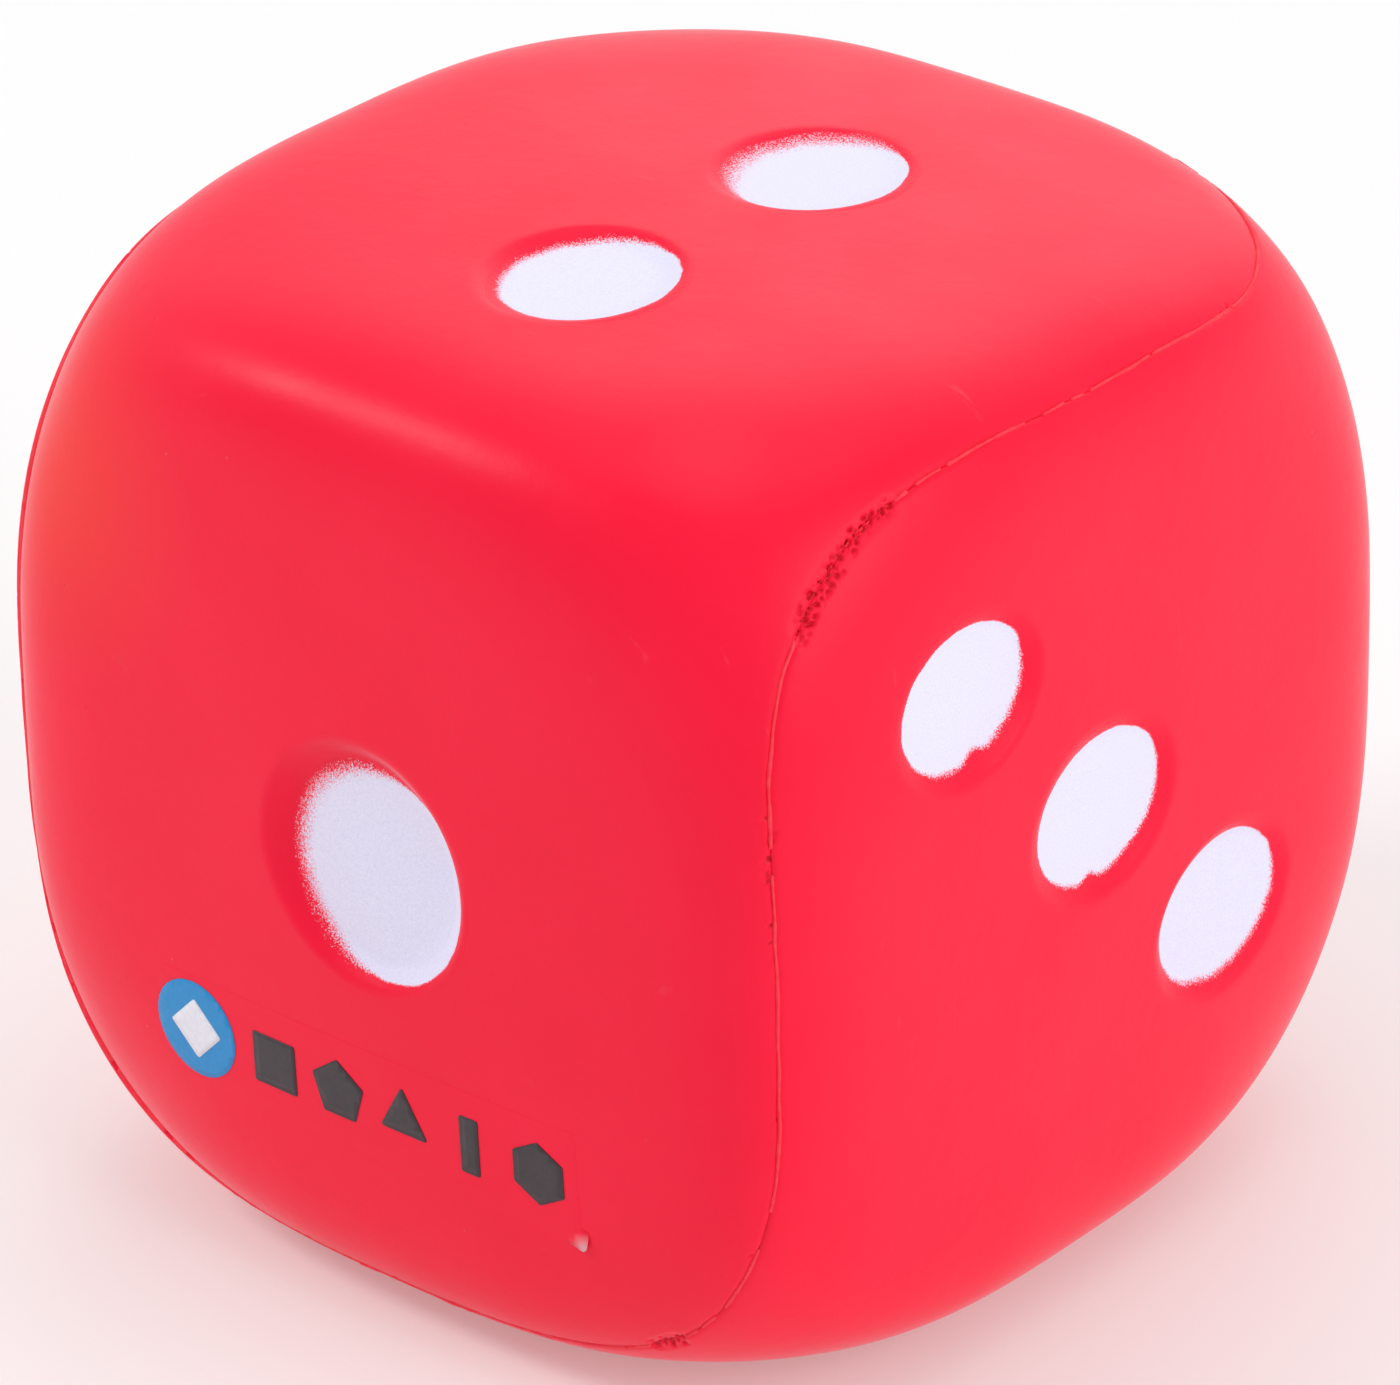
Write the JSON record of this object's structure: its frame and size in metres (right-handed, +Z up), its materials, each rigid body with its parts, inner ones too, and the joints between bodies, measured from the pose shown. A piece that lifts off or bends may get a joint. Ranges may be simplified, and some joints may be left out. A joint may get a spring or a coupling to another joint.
{
  "type": "giant foam yard die",
  "caption": "A giant soft foam die for lawn games, with rounded edges, recessed white pips that sum to seven across opposite faces, a proud mould parting line and a small printed decal.",
  "frame": {"origin": "middle of the underside, on the surface that the die stands on", "axes": "+Z up through the face with two pips, -Y out of the face with one pip and the decal, +X out of the face with three pips"},
  "size_m": [0.16, 0.1602, 0.16],
  "materials": {
    "foam": "open-celled soft polyurethane foam",
    "skin": "smooth semi-matte moulded foam skin",
    "flash": "thin ragged foam flash, matte",
    "pip_paint": "sprayed white paint, matte, grainy at its rim",
    "decal_film": "thin clear film",
    "decal_blue": "printed ink",
    "decal_white": "printed ink",
    "decal_ink": "printed ink"
  },
  "bodies": {
    "root": {"foam_core": "foam", "skin_front_top": "skin", "skin_back_bottom": "skin", "parting_line_flash": "flash", "pip_one_1": "pip_paint", "pip_two_1": "pip_paint", "pip_two_2": "pip_paint", "pip_three_1": "pip_paint", "pip_three_2": "pip_paint", "pip_three_3": "pip_paint", "pip_four_1": "pip_paint", "pip_four_2": "pip_paint", "pip_four_3": "pip_paint", "pip_four_4": "pip_paint", "pip_five_1": "pip_paint", "pip_five_2": "pip_paint", "pip_five_3": "pip_paint", "pip_five_4": "pip_paint", "pip_five_5": "pip_paint", "pip_six_1": "pip_paint", "pip_six_2": "pip_paint", "pip_six_3": "pip_paint", "pip_six_4": "pip_paint", "pip_six_5": "pip_paint", "pip_six_6": "pip_paint", "decal_film": "decal_film", "decal_emblem_disc": "decal_blue", "decal_emblem_diamond": "decal_white", "decal_mark_square": "decal_ink", "decal_mark_pentagon": "decal_ink", "decal_mark_triangle": "decal_ink", "decal_mark_bar": "decal_ink", "decal_mark_hexagon": "decal_ink"}
  },
  "joints": []
}
